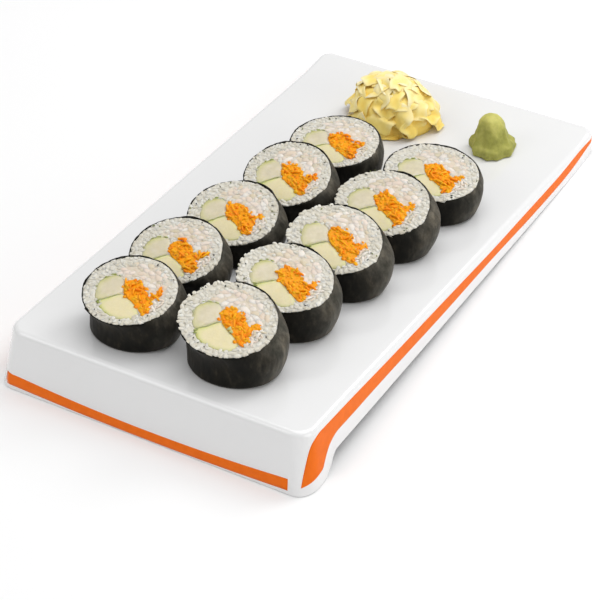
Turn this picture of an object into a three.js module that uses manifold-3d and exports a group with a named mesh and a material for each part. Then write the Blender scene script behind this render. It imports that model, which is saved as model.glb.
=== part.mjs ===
// A porcelain ramp plate with ten pieces of thick maki roll, a heap of pickled ginger and a
// mound of wasabi. Millimetres, +Z up, the plate stands on z = 0 and its length runs along Y.
//
// Most of the model is built in the plate's own frame: x across, v along the flat top from its
// front edge, w square to the top. The whole frame is then turned so that the feet lie on z = 0.

import * as THREE from 'three';
import { mergeVertices } from 'three/addons/utils/BufferGeometryUtils.js';
import Module from 'manifold-3d';

const wasm = await Module();
wasm.setup();

// ---- plate ----
const PLATE_HALF_WIDTH = 85.5;
const PLATE_LENGTH = 304;
const FRONT_DEPTH = 31.4; // from the top surface down to the front foot
const FAR_DEPTH = 10.6; // from the top surface down to the far foot
const FAR_FOOT_V = 285;
const FAR_FOOT_START = 274;
const FAR_FOOT_END = 290;
const WALL = 6;
const CEILING_FILLET = 2;
const EDGE_RADIUS = 3.5;
const FRONT_CORNER_RADIUS = 9;
const FRONT_FOOT_CORNER_RADIUS = 5;
const FAR_CORNER_RADIUS = 7;
const FRONT_FLARE = 6.2; // how far the front face leans out at its foot
const SIDE_FLARE = 4; // the same for the sides, at the front foot's depth
const FAR_TUCK = 3.5; // how far the far face pulls in at its foot
const LEG_LENGTH = 10; // flat bottom of the front leg along v
const SKIRT_DEPTH = 20.8; // skirt just behind the front leg
const SKIRT_START = 23.5;
const CURL_START = 274;
const CURL_RISE = 3;
const FAR_EDGE_LIFT = 0.035; // how fast the lower edge curves up past the far foot
const CORNER_STEPS = 4;
const EDGE_STEPS = 3;
const SIDE_STATIONS = [10, 13.4, 16.8, 20.2, 23.5, 110, 190, 274, 281, 288];

// ---- rolls ----
const ROLL_RADIUS = 25; // a round roll before it is pressed to an oval
const ROLL_HEIGHT = 24;
const ROLL_SEGMENTS = 22;
const NORI_THICKNESS = 0.6;
const GAP = 0.35; // clearance between touching pieces
const BASE_SCALE = 0.94;
const SWELL_LEVEL = 2 / 3; // a piece is fullest at this share of its height
const SWELL_PER_RISE = 0.24; // the more a piece is slanted, the more its free sides swell there
const SQUEEZE_PER_RISE = 0.12; // the more its neighbours in the row flatten it
const BOW_PER_RISE = 9; // the more it bows to +x
const BACK_BOW_PER_RISE = 4; // and to +v
const GRAIN_PITCH = 4.7;
const GRAIN_RELIEF = 1.2;
const RICE_SINK = 0.2; // hollows between the grains lie this far below the nori's rim
const SHRED_PITCH = 3.9;
const SHRED_RELIEF = 2;
const BUMP_JITTER = 0.3; // how far bumps stray from their lattice, in pitches

// ---- heaps ----
const GINGER = {
  x: -14.5,
  v: 258.5,
  halfX: 36,
  halfV: 25,
  height: 25.5,
  core: 0.72, // size of the core as a share of the heap
  slices: 9,
  reach: 0.68, // slices' middles lie within this share of the heap
  halfLength: 13,
  halfWidth: 10,
  thickness: 1.8,
  wave: 2,
};
const WASABI = {
  x: 45,
  v: 261,
  radius: 12.5,
  height: 20.5,
  lean: 1.5, // how far the top leans to the left
  shoulder: 0.06, // how far the left side swells low down
  segments: 18,
  profile: [
    [0, 0], [0.9, 0], [0.97, 0.08], [0.95, 0.21], [0.75, 0.34],
    [0.62, 0.56], [0.5, 0.79], [0.28, 0.95], [0, 1],
  ],
};

// Each piece of roll: its middle on the plate, how far the top's middle leans from there, the
// height at its middle, the slopes of the cut top along and across the row, and its half sizes.
const ROLLS = {
  left1: {
    x: -30, v: 31.2, leanX: 0, leanV: -2.4, height: 24.2, rise: 0.3, cant: 0.04, halfX: 24.9, halfV: 20.8,
  },
  left2: {
    x: -32, v: 73, leanX: 0, leanV: -1.5, height: 20.8, rise: 0.34, cant: 0.08, halfX: 25, halfV: 20.8,
  },
  left3: {
    x: -25.5, v: 114.3, leanX: 0, leanV: -0.8, height: 21, rise: 0.32, cant: 0.04, halfX: 24.8, halfV: 20.8,
  },
  left4: {
    x: -19.2, v: 155.4, leanX: 0, leanV: 0, height: 22.8, rise: 0.36, cant: 0.04, halfX: 23.8, halfV: 20.4,
  },
  left5: {
    x: -15.5, v: 197.2, leanX: 0, leanV: 0, height: 20.7, rise: 0.17, cant: 0.07, halfX: 25.1, halfV: 20.8,
  },
  right1: {
    x: 26.5, v: 32, leanX: -1.5, leanV: -2, height: 26.6, rise: 0.31, cant: -0.03, halfX: 25.2, halfV: 21.4,
  },
  right2: {
    x: 30, v: 74.4, leanX: 0, leanV: -1.5, height: 26, rise: 0.27, cant: -0.06, halfX: 25.4, halfV: 20.4,
  },
  right3: {
    x: 35.5, v: 115, leanX: -2, leanV: -1, height: 25, rise: 0.35, cant: -0.05, halfX: 25.4, halfV: 19.8,
  },
  right4: {
    x: 38, v: 155.3, leanX: -1.4, leanV: 0, height: 23.6, rise: 0.35, cant: 0.03, halfX: 26, halfV: 20.2,
  },
  right5: {
    x: 42, v: 197.2, leanX: 0, leanV: 0.4, height: 19.6, rise: 0.17, cant: -0.01, halfX: 26.2, halfV: 21.2,
  },
};

// Outlines of the fillings in a round roll of radius 1, x to the right and y along the row.
// They are cut in this order, so each one gives way to those before it.
const FILLINGS = {
  carrot: [
    [-0.06, -0.14], [0.13, -0.25], [0.32, -0.36], [0.53, -0.5], [0.64, -0.38], [0.57, -0.1], [0.66, 0.06],
    [0.61, 0.22], [0.43, 0.04], [0.28, 0.18], [0.08, 0.31], [-0.12, 0.27], [-0.2, 0.1],
  ],
  avocado: [
    [-0.47, -0.54], [-0.27, -0.73], [0.05, -0.81], [0.34, -0.76], [0.5, -0.58], [0.32, -0.36], [0.11, -0.22],
    [-0.1, -0.14], [-0.33, -0.36],
  ],
  cucumber: [
    [-0.5, -0.48], [-0.3, -0.32], [-0.1, -0.12], [-0.18, 0.11], [-0.3, 0.25], [-0.48, 0.28], [-0.64, 0.19],
    [-0.72, 0], [-0.67, -0.25],
  ],
};
const FILLING_JITTER = 0.7;

// ---- colours ----
const COLOURS = {
  plate: { color: 0xf1f0ee, roughness: 0.12 },
  nori: { color: 0x1d1f1a, roughness: 0.45 },
  rice: { color: 0xe6e3da, roughness: 0.5 },
  cucumber: { color: 0xe4e0c2, roughness: 0.35 },
  avocado: { color: 0xe6dfa0, roughness: 0.45 },
  carrot: { color: 0xf58a12, roughness: 0.4 },
  ginger: { color: 0xf3dd86, roughness: 0.35 },
  wasabi: { color: 0xa3b04a, roughness: 0.6 },
};

// A seeded source of even random numbers from 0 to 1.
function seededRandom(seed) {
  let state = seed >>> 0;
  return () => {
    state = (state + 0x6d2b79f5) >>> 0;
    let t = state;
    t = Math.imul(t ^ (t >>> 15), t | 1);
    t ^= t + Math.imul(t ^ (t >>> 7), t | 61);
    return ((t ^ (t >>> 14)) >>> 0) / 4294967296;
  };
}

// ---- solids and meshes ----

function toSolid(geometry) {
  geometry.deleteAttribute('normal');
  geometry.deleteAttribute('uv');
  const merged = mergeVertices(geometry, 1e-4);
  return new wasm.Manifold(new wasm.Mesh({
    numProp: 3,
    vertProperties: new Float32Array(merged.attributes.position.array),
    triVerts: new Uint32Array(merged.index.array),
  }));
}

function toGeometry(solid) {
  const mesh = solid.getMesh();
  const geometry = new THREE.BufferGeometry();
  geometry.setAttribute('position', new THREE.BufferAttribute(new Float32Array(mesh.vertProperties), 3));
  geometry.setIndex(new THREE.BufferAttribute(new Uint32Array(mesh.triVerts), 1));
  return geometry;
}

function indexedGeometry(points, triangles) {
  const geometry = new THREE.BufferGeometry();
  geometry.setAttribute('position', new THREE.Float32BufferAttribute(points.flat(), 3));
  geometry.setIndex(triangles);
  return geometry;
}

function namedMesh(name, geometry, look) {
  geometry.computeVertexNormals();
  const { color, roughness } = look;
  const material = new THREE.MeshStandardMaterial({ color, roughness, metalness: 0 });
  const mesh = new THREE.Mesh(geometry, material);
  mesh.name = name;
  return mesh;
}

// ---- plate ----

const TABLE_SLOPE = (FRONT_DEPTH - FAR_DEPTH) / FAR_FOOT_V;

function tableLine(v) {
  return -FRONT_DEPTH + v * TABLE_SLOPE;
}

// The top surface: flat, with the far end curling up.
function topHeight(v) {
  const t = Math.max(0, v - CURL_START) / (PLATE_LENGTH - CURL_START);
  return CURL_RISE * t * t;
}

// The lower edge of the walls: front foot, slanted back of the leg, skirt, far foot, far curve.
function lowerEdge(v) {
  if (v <= LEG_LENGTH) return tableLine(v);
  if (v >= FAR_FOOT_START) {
    const past = Math.max(0, v - FAR_FOOT_END);
    return tableLine(v) + FAR_EDGE_LIFT * past * past;
  }
  if (v >= SKIRT_START) {
    const t = (v - SKIRT_START) / (FAR_FOOT_START - SKIRT_START);
    return THREE.MathUtils.lerp(-SKIRT_DEPTH, tableLine(FAR_FOOT_START), t);
  }
  const t = (v - LEG_LENGTH) / (SKIRT_START - LEG_LENGTH);
  return THREE.MathUtils.lerp(tableLine(LEG_LENGTH), -SKIRT_DEPTH, t * t * (3 - 2 * t));
}

// The right half of the plate's outline, from the front edge round to the far edge, pulled in by
// inset. Each point has its outward direction, which the leaning faces follow.
function halfOutline(inset, frontRadius) {
  const points = [];
  const corner = (fullRadius, centreAt, from) => {
    const radius = Math.max(fullRadius - inset, 1);
    for (let i = 0; i <= CORNER_STEPS; i += 1) {
      const angle = from + (Math.PI / 2) * (i / CORNER_STEPS);
      const out = { x: Math.cos(angle), v: Math.sin(angle) };
      points.push({
        x: PLATE_HALF_WIDTH - inset - radius + radius * out.x,
        v: centreAt(inset + radius) + radius * out.v,
        out,
      });
    }
  };
  corner(frontRadius, (distance) => distance, -Math.PI / 2);
  for (const v of SIDE_STATIONS) points.push({ x: PLATE_HALF_WIDTH - inset, v, out: { x: 1, v: 0 } });
  corner(FAR_CORNER_RADIUS, (distance) => PLATE_LENGTH - distance, 0);
  return points;
}

// One ring of the plate's skin at the height that height(v) gives. A foot ring has the sharper
// corners and the full lean of the walls, in proportion to its depth.
function plateRing(inset, height, atFoot) {
  const outline = halfOutline(inset, atFoot ? FRONT_FOOT_CORNER_RADIUS : FRONT_CORNER_RADIUS);
  const half = outline.map(({ x, v, out }) => {
    if (!atFoot) return [x, v, height(v)];
    const depth = -height(v) / FRONT_DEPTH;
    const shifted = v + (out.v < 0 ? FRONT_FLARE * depth * out.v : -FAR_TUCK * out.v);
    return [x + SIDE_FLARE * depth * out.x, shifted, height(shifted)];
  });
  const mirrored = half.map(([x, v, w]) => [-x, v, w]).reverse();
  return [...half, ...mirrored];
}

// Joins rings of equal count into one closed skin, with a strip of quads across each end ring.
function closedSkin(rings) {
  const count = rings[0].length;
  const triangles = [];
  const quad = (a, b, c, d) => triangles.push(a, b, c, a, c, d);
  for (let k = 0; k + 1 < rings.length; k += 1) {
    for (let i = 0; i < count; i += 1) {
      const j = (i + 1) % count;
      quad(k * count + i, k * count + j, (k + 1) * count + j, (k + 1) * count + i);
    }
  }
  const last = (rings.length - 1) * count;
  for (let i = 0; i + 1 < count / 2; i += 1) {
    const j = count - 1 - i;
    quad(i, j, j - 1, i + 1);
    quad(last + i, last + i + 1, last + j - 1, last + j);
  }
  return indexedGeometry(rings.flat(), triangles);
}

function makePlate() {
  const rings = [
    plateRing(WALL + CEILING_FILLET, (v) => topHeight(v) - WALL, false),
    plateRing(WALL, (v) => topHeight(v) - WALL - CEILING_FILLET, false),
    plateRing(WALL, lowerEdge, true),
    plateRing(0, lowerEdge, true),
  ];
  for (let i = 0; i <= EDGE_STEPS; i += 1) {
    const angle = (Math.PI / 2) * (i / EDGE_STEPS);
    const drop = EDGE_RADIUS * (1 - Math.sin(angle));
    const inset = EDGE_RADIUS * (1 - Math.cos(angle));
    rings.push(plateRing(inset, (v) => topHeight(v) - drop, false));
  }
  return namedMesh('plate', closedSkin(rings), COLOURS.plate);
}

// ---- rolls ----

// Takes a point of the round upright roll to the pressed, slanted piece on the plate.
function placeInPiece(piece) {
  return ([x, y, z]) => {
    const t = Math.min(z / ROLL_HEIGHT, 1);
    const proud = Math.max(z - ROLL_HEIGHT, 0);
    const middle = (t * t * (1 - t)) / (SWELL_LEVEL ** 2 * (1 - SWELL_LEVEL));
    const slanted = piece.rise * middle;
    const spread = THREE.MathUtils.lerp(BASE_SCALE, 1, t);
    const px = (x / ROLL_RADIUS) * piece.halfX;
    const pv = (y / ROLL_RADIUS) * piece.halfV;
    return [
      piece.x + piece.leanX * t + BOW_PER_RISE * slanted + px * (spread + SWELL_PER_RISE * slanted),
      piece.v + piece.leanV * t + BACK_BOW_PER_RISE * slanted + pv * (spread - SQUEEZE_PER_RISE * slanted),
      GAP + t * (piece.height + piece.rise * pv + piece.cant * px) + proud,
    ];
  };
}

function warp(geometry, place) {
  const position = geometry.attributes.position;
  for (let i = 0; i < position.count; i += 1) {
    position.setXYZ(i, ...place([position.getX(i), position.getY(i), position.getZ(i)]));
  }
  return geometry;
}

// The nori is a sleeve: a closed profile turned about the roll's axis.
function noriSleeve() {
  const outer = ROLL_RADIUS;
  const inner = ROLL_RADIUS - NORI_THICKNESS;
  const fullest = SWELL_LEVEL * ROLL_HEIGHT;
  const profile = [
    [inner, 0], [outer, 0], [outer, fullest], [outer, ROLL_HEIGHT], [inner, ROLL_HEIGHT], [inner, fullest],
    [inner, 0],
  ].map(([r, z]) => new THREE.Vector2(r, z));
  return toSolid(new THREE.LatheGeometry(profile, ROLL_SEGMENTS).rotateX(Math.PI / 2));
}

// An upright prism of a filling's outline, grown by margin square to the outline.
function fillingPrism(corners, margin, height) {
  const curve = new THREE.CatmullRomCurve3(corners, true, 'centripetal');
  const shape = new THREE.Shape();
  corners.forEach((corner, i) => {
    const along = curve.getTangent(i / corners.length);
    const x = corner.x + along.y * margin;
    const y = corner.y - along.x * margin;
    if (i === 0) shape.moveTo(x, y);
    else shape.lineTo(x, y);
  });
  shape.closePath();
  return toSolid(new THREE.ExtrudeGeometry(shape, { depth: height, bevelEnabled: false }));
}

// A block whose top is a close field of bumps, each the size of a grain or a shred's end.
function bumpyBlock(random, base, pitch, relief) {
  const rowStep = pitch * Math.sqrt(0.75);
  const reach = Math.ceil((ROLL_RADIUS + 2) / pitch);
  const rows = Math.ceil((ROLL_RADIUS + 2) / rowStep);
  const columns = 2 * reach + 1;
  const points = [];
  for (let r = -rows; r <= rows; r += 1) {
    for (let c = -reach; c <= reach; c += 1) {
      const peak = (((c - r) % 3) + 3) % 3 === 0;
      const offset = (Math.abs(r) % 2) * 0.5;
      const bump = peak ? relief * (0.55 + 0.45 * random()) : relief * 0.25 * random();
      points.push([
        (c + offset + BUMP_JITTER * (random() - 0.5)) * pitch,
        r * rowStep + BUMP_JITTER * (random() - 0.5) * pitch,
        base + bump,
      ]);
    }
  }
  const topCount = points.length;
  points.push(...points.map(([x, y]) => [x, y, -1]));
  const triangles = [];
  for (let r = 0; r < 2 * rows; r += 1) {
    for (let c = 0; c + 1 < columns; c += 1) {
      const a = r * columns + c;
      const b = a + columns;
      const shifted = Math.abs(r - rows) % 2 === 1;
      const faces = shifted ? [[a, a + 1, b + 1], [a, b + 1, b]] : [[a, a + 1, b], [a + 1, b + 1, b]];
      for (const [i, j, k] of faces) {
        triangles.push(i, j, k);
        triangles.push(i + topCount, k + topCount, j + topCount);
      }
    }
  }
  const rim = [];
  for (let c = 0; c < columns; c += 1) rim.push(c);
  for (let r = 1; r <= 2 * rows; r += 1) rim.push(r * columns + columns - 1);
  for (let c = columns - 2; c >= 0; c -= 1) rim.push(2 * rows * columns + c);
  for (let r = 2 * rows - 1; r >= 1; r -= 1) rim.push(r * columns);
  for (let i = 0; i < rim.length; i += 1) {
    const a = rim[i];
    const b = rim[(i + 1) % rim.length];
    triangles.push(a, a + topCount, b + topCount, a, b + topCount, b);
  }
  return toSolid(indexedGeometry(points, triangles));
}

function riceCylinder(height) {
  const radius = ROLL_RADIUS - NORI_THICKNESS - GAP;
  const fullest = SWELL_LEVEL * ROLL_HEIGHT;
  const profile = [
    [0, 0], [radius, 0], [radius, fullest], [radius, ROLL_HEIGHT], [radius, height], [0, height],
  ];
  const points = profile.map(([r, z]) => new THREE.Vector2(r, z));
  return toSolid(new THREE.LatheGeometry(points, ROLL_SEGMENTS).rotateX(Math.PI / 2));
}

function largestBody(solid) {
  return solid.decompose().sort((a, b) => b.volume() - a.volume())[0];
}

function makeRoll(name, piece, seed) {
  const random = seededRandom(seed);
  const place = placeInPiece(piece);
  const meshes = [];
  const add = (part, solid) => {
    meshes.push(namedMesh(`${name}_${part}`, warp(toGeometry(largestBody(solid)), place), COLOURS[part]));
  };
  add('nori', noriSleeve());
  const grains = bumpyBlock(random, ROLL_HEIGHT - RICE_SINK, GRAIN_PITCH, GRAIN_RELIEF);
  const rice = riceCylinder(ROLL_HEIGHT + 3).intersect(grains);
  let taken = null;
  for (const [filling, outline] of Object.entries(FILLINGS)) {
    const corners = outline.map(([x, y]) => new THREE.Vector3(
      x * ROLL_RADIUS + FILLING_JITTER * (random() - 0.5),
      y * ROLL_RADIUS + FILLING_JITTER * (random() - 0.5),
      0,
    ));
    let solid = fillingPrism(corners, 0, filling === 'carrot' ? ROLL_HEIGHT + 3 : ROLL_HEIGHT);
    if (filling === 'carrot') {
      solid = solid.intersect(bumpyBlock(random, ROLL_HEIGHT - RICE_SINK, SHRED_PITCH, SHRED_RELIEF));
    }
    if (taken) solid = solid.subtract(taken);
    add(filling, solid);
    const pocket = fillingPrism(corners, GAP, ROLL_HEIGHT + 8).translate([0, 0, -2]);
    taken = taken ? taken.add(pocket) : pocket;
  }
  add('rice', rice.subtract(taken));
  return meshes;
}

// ---- ginger and wasabi ----

// Lumps of a soft heap: a sum of a few waves over the direction from its middle.
function lumpiness(random) {
  const waves = Array.from({ length: 5 }, () => ({
    direction: new THREE.Vector3(random() - 0.5, random() - 0.5, random() - 0.5).setLength(3 + 4 * random()),
    phase: 2 * Math.PI * random(),
  }));
  const height = (at, wave) => Math.sin(at.dot(wave.direction) + wave.phase) / waves.length;
  return (at) => waves.reduce((sum, wave) => sum + height(at, wave), 0);
}

// Everything below the plate's top surface and a small gap above it.
function plateSpace() {
  const shape = new THREE.Shape();
  shape.moveTo(0, GAP);
  shape.lineTo(0, -FRONT_DEPTH);
  shape.lineTo(PLATE_LENGTH, -FRONT_DEPTH);
  for (let v = PLATE_LENGTH; v >= CURL_START; v -= 5) shape.lineTo(v, topHeight(v) + GAP);
  shape.lineTo(CURL_START, GAP);
  shape.closePath();
  const geometry = new THREE.ExtrudeGeometry(shape, { depth: 2 * PLATE_HALF_WIDTH, bevelEnabled: false });
  return toSolid(warp(geometry, ([v, w, x]) => [x - PLATE_HALF_WIDTH, v, w]));
}

// A thin wavy slice: both faces are the same grid of triangles, closed round the rim.
function gingerSlice(random, centre, turn, halfLength, halfWidth) {
  const rings = 2;
  const spokes = 7;
  const phase = 2 * Math.PI * random();
  const points = [new THREE.Vector3(0, 0, 0)];
  for (let k = 1; k <= rings; k += 1) {
    for (let i = 0; i < spokes; i += 1) {
      const angle = (2 * Math.PI * i) / spokes;
      const reach = (k / rings) * (1 + 0.2 * (random() - 0.5));
      points.push(new THREE.Vector3(
        halfLength * reach * Math.cos(angle),
        halfWidth * reach * Math.sin(angle),
        GINGER.wave * reach * reach * Math.sin(2 * angle + phase),
      ));
    }
  }
  const count = points.length;
  const lower = points.map((p) => p.clone().setZ(p.z - GINGER.thickness));
  const placed = [...points, ...lower].map((p) => p.applyEuler(turn).add(centre).toArray());
  const triangles = [];
  const bothFaces = (a, b, c) => triangles.push(a, b, c, a + count, c + count, b + count);
  for (let i = 0; i < spokes; i += 1) {
    const a = 1 + i;
    const b = 1 + ((i + 1) % spokes);
    bothFaces(0, a, b);
    bothFaces(a, a + spokes, b + spokes);
    bothFaces(a, b + spokes, b);
    const c = a + spokes;
    const d = b + spokes;
    triangles.push(c, c + count, d + count, c, d + count, d);
  }
  return toSolid(indexedGeometry(placed, triangles));
}

// A lumpy core with thin slices that lean on it all round, pressed into one heap.
function makeGinger() {
  const random = seededRandom(128);
  const lumps = lumpiness(random);
  const core = warp(new THREE.IcosahedronGeometry(1, 2), ([x, y, z]) => {
    const r = GINGER.core * (1 + 0.2 * lumps(new THREE.Vector3(x, y, z)));
    return [GINGER.x + GINGER.halfX * r * x, GINGER.v + GINGER.halfV * r * y, GINGER.height * 1.1 * r * z];
  });
  let heap = toSolid(core);
  for (let i = 0; i < GINGER.slices; i += 1) {
    const angle = i * 2.4;
    const out = Math.sqrt((i + 0.3) / GINGER.slices);
    const x = Math.cos(angle);
    const y = Math.sin(angle);
    const centre = new THREE.Vector3(
      GINGER.x + GINGER.halfX * GINGER.reach * out * x,
      GINGER.v + GINGER.halfV * GINGER.reach * out * y,
      GINGER.height * (0.95 - 0.78 * out * out),
    );
    const turn = new THREE.Euler(
      -out * y + 0.8 * (random() - 0.5),
      out * x + 0.8 * (random() - 0.5),
      2 * Math.PI * random(),
    );
    const halfLength = GINGER.halfLength + 3 * random();
    const halfWidth = GINGER.halfWidth + 2 * random();
    heap = heap.add(gingerSlice(random, centre, turn, halfLength, halfWidth));
  }
  return namedMesh('pickled_ginger', toGeometry(largestBody(heap.subtract(plateSpace()))), COLOURS.ginger);
}

// A mound pinched by hand: a broad foot, a shoulder on one side and a rounded top.
function makeWasabi() {
  const profile = WASABI.profile.map(([r, z]) => new THREE.Vector2(r * WASABI.radius, z * WASABI.height));
  const lumps = lumpiness(seededRandom(31));
  const geometry = new THREE.LatheGeometry(profile, WASABI.segments).rotateX(Math.PI / 2);
  warp(geometry, ([x, y, z]) => {
    const swell = 1 + 0.16 * lumps(new THREE.Vector3(x, y, z).divideScalar(WASABI.radius));
    const rise = z / WASABI.height;
    const low = Math.sin(Math.PI * Math.min(1, 1.7 * rise));
    const shoulder = 1 + WASABI.shoulder * low * Math.max(0, -x / WASABI.radius);
    return [WASABI.x + x * swell * shoulder - WASABI.lean * rise, WASABI.v + y * swell, GAP + z];
  });
  return namedMesh('wasabi', toGeometry(toSolid(geometry)), COLOURS.wasabi);
}

// ---- the whole ----

const served = new THREE.Group();
served.add(makePlate());
Object.entries(ROLLS).forEach(([name, piece], index) => served.add(...makeRoll(name, piece, 11 + index)));
served.add(makeGinger(), makeWasabi());

// Turn the plate's frame until both feet are level, stand it on z = 0 and centre its length.
const slope = Math.atan(TABLE_SLOPE);
served.rotation.x = -slope;
served.position.z = FRONT_DEPTH * Math.cos(slope);
served.updateMatrixWorld(true);
const extent = new THREE.Box3().setFromObject(served, true);
served.position.y = -(extent.min.y + extent.max.y) / 2;

const platter = new THREE.Group();
platter.add(served);

export default platter;
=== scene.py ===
"""The looks of a sushi platter: a porcelain ramp plate with ten pieces of thick maki roll, a heap of
pickled ginger and a mound of wasabi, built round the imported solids.

Shapes are worked out in millimetres in the plate's own frame: x across, v along the flat top from its
front edge, w square to the top. A roll is first made round and upright, then pressed and slanted as its
solid is. to_world turns the plate's frame onto its feet and gives metres.
"""

import math
from collections import namedtuple

import bpy
import numpy as np
from mathutils import Matrix, Vector
from mathutils.geometry import delaunay_2d_cdt


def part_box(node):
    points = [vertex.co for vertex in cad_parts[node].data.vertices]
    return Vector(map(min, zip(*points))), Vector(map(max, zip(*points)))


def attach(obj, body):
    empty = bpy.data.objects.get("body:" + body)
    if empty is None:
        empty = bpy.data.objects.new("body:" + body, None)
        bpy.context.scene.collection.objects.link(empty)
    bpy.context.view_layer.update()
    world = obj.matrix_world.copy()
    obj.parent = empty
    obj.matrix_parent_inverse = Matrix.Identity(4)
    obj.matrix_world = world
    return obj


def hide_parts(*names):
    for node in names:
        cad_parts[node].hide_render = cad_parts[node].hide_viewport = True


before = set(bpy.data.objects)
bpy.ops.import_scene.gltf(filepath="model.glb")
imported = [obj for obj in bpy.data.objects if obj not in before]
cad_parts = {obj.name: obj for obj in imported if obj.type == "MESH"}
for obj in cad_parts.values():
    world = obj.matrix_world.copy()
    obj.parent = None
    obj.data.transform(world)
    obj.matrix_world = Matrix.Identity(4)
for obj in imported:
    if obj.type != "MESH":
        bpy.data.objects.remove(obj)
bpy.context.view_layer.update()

# ---- sizes that the solids have too, in mm ----
PLATE_HALF_WIDTH = 85.5
PLATE_LENGTH = 304.0
FRONT_DEPTH = 31.4
FAR_DEPTH = 10.6
FAR_FOOT_V = 285.0
FAR_FOOT_START = 274.0
FAR_FOOT_END = 290.0
FAR_EDGE_LIFT = 0.035
WALL = 6.0
CEILING_FILLET = 2.0
EDGE_RADIUS = 3.5
FRONT_CORNER_RADIUS = 9.0
FRONT_FOOT_CORNER_RADIUS = 5.0
FAR_CORNER_RADIUS = 7.0
FRONT_FLARE = 6.2
SIDE_FLARE = 4.0
FAR_TUCK = 3.5
LEG_LENGTH = 10.0
SKIRT_DEPTH = 20.8
SKIRT_START = 23.5
CURL_START = 274.0
CURL_RISE = 3.0
FOOT_BEVEL = 0.9

ROLL_RADIUS = 25.0
ROLL_HEIGHT = 24.0
NORI_THICKNESS = 0.6
GAP = 0.35
BASE_SCALE = 0.94
SWELL_LEVEL = 2 / 3
SWELL_PER_RISE = 0.24
SQUEEZE_PER_RISE = 0.12
BOW_PER_RISE = 9.0
BACK_BOW_PER_RISE = 4.0

# Each piece of roll: its middle on the plate, the lean of its top, its height, the slopes of its cut top,
# its half sizes, where the nori's seam is, in degrees, and how far rice swells over the rim on its left.
Roll = namedtuple("Roll", "x v lean height rise cant half seam spill")
ROLLS = {
    "left1": Roll(-30, 31.2, (0, -2.4), 24.2, 0.30, 0.04, (24.9, 20.8), 232, 0.1),
    "left2": Roll(-32, 73, (0, -1.5), 20.8, 0.34, 0.08, (25, 20.8), 75, 0.2),
    "left3": Roll(-25.5, 114.3, (0, -0.8), 21, 0.32, 0.04, (24.8, 20.8), 60, 0.3),
    "left4": Roll(-19.2, 155.4, (0, 0), 22.8, 0.36, 0.04, (23.8, 20.4), 110, 0.2),
    "left5": Roll(-15.5, 197.2, (0, 0), 20.7, 0.17, 0.07, (25.1, 20.8), 95, 0.2),
    "right1": Roll(26.5, 32, (-1.5, -2), 26.6, 0.31, -0.03, (25.2, 21.4), 140, 1.0),
    "right2": Roll(30, 74.4, (0, -1.5), 26, 0.27, -0.06, (25.4, 20.4), 80, 0.7),
    "right3": Roll(35.5, 115, (-2, -1), 25, 0.35, -0.05, (25.4, 19.8), 100, 0.9),
    "right4": Roll(38, 155.3, (-1.4, 0), 23.6, 0.35, 0.03, (26, 20.2), 70, 0.6),
    "right5": Roll(42, 197.2, (0, 0.4), 19.6, 0.17, -0.01, (26.2, 21.2), 120, 0.3),
}

# Outlines of the fillings in a round roll of radius 1. Each gives way to those before it.
FILLINGS = {
    "carrot": [
        (-0.06, -0.14), (0.13, -0.25), (0.32, -0.36), (0.53, -0.5), (0.64, -0.38), (0.57, -0.1),
        (0.66, 0.06), (0.61, 0.22), (0.43, 0.04), (0.28, 0.18), (0.08, 0.31), (-0.12, 0.27), (-0.2, 0.1),
    ],
    "avocado": [
        (-0.47, -0.54), (-0.27, -0.73), (0.05, -0.81), (0.34, -0.76), (0.5, -0.58), (0.32, -0.36),
        (0.11, -0.22), (-0.1, -0.14), (-0.33, -0.36),
    ],
    "cucumber": [
        (-0.5, -0.48), (-0.3, -0.32), (-0.1, -0.12), (-0.18, 0.11), (-0.3, 0.25), (-0.48, 0.28),
        (-0.64, 0.19), (-0.72, 0), (-0.67, -0.25),
    ],
}
# Where pale pulled strands lie among the rice: a broad patch above the carrot and a few beside it.
STRAND_PATCH = [
    (-0.5, 0.36), (-0.38, 0.6), (-0.08, 0.76), (0.3, 0.7), (0.56, 0.48), (0.66, 0.3), (0.56, 0.14),
    (0.44, 0.08), (0.26, 0.22), (0.06, 0.34), (-0.2, 0.32), (-0.34, 0.3),
]
SIDE_STRAND_PATCH = [(0.6, -0.42), (0.74, -0.34), (0.8, -0.1), (0.74, 0.06), (0.64, -0.02), (0.62, -0.2)]
# Lime green bits that only some pieces have beside the carrot: where each starts, in mm, and its width.
LIME_BITS = {"right1": [((3.0, -6.2), 1.3), ((4.6, -7.4), 0.9)]}

# The ginger's dome of slices ends where its solid does.
GINGER = dict(x=-16, v=260.4, half=(28.5, 22.6), height=28)
WASABI = dict(x=45, v=261, radius=12.5, height=20.5, lean=1.5, profile=[
    (0.9, 0), (0.97, 0.08), (0.95, 0.21), (0.75, 0.34), (0.62, 0.56), (0.5, 0.79), (0.28, 0.95), (0, 1),
])

# ---- the camera, in the plate's frame: mm and degrees, for a square picture ----
CAMERA_PLACE = (540.31, -738.27, 706.19)
CAMERA_AZIMUTH = 31.752
CAMERA_ELEVATION = 35.901
CAMERA_ROLL = -1.028
CAMERA_LENS = 147.07
SENSOR = 36.0

# ---- frames ----
TABLE_SLOPE = (FRONT_DEPTH - FAR_DEPTH) / FAR_FOOT_V
SLOPE = math.atan(TABLE_SLOPE)


def turned(points):
    """Points of the plate's frame, turned so that the feet are level and stand at 0, still in mm."""
    x, v, w = np.asarray(points, float).reshape(-1, 3).T
    c, s = math.cos(SLOPE), math.sin(SLOPE)
    return np.column_stack([x, v * c + w * s, (FRONT_DEPTH + w) * c - v * s])


def to_world(points):
    return (turned(points) + [0, CENTRE_SHIFT, 0]) / 1000


def smoothstep(low, high, value):
    t = np.clip((value - low) / (high - low), 0, 1)
    return t * t * (3 - 2 * t)


# ---- the plate's surfaces ----

def table_line(v):
    return -FRONT_DEPTH + v * TABLE_SLOPE


def top_height(v):
    t = np.maximum(0, v - CURL_START) / (PLATE_LENGTH - CURL_START)
    return CURL_RISE * t * t


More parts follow.
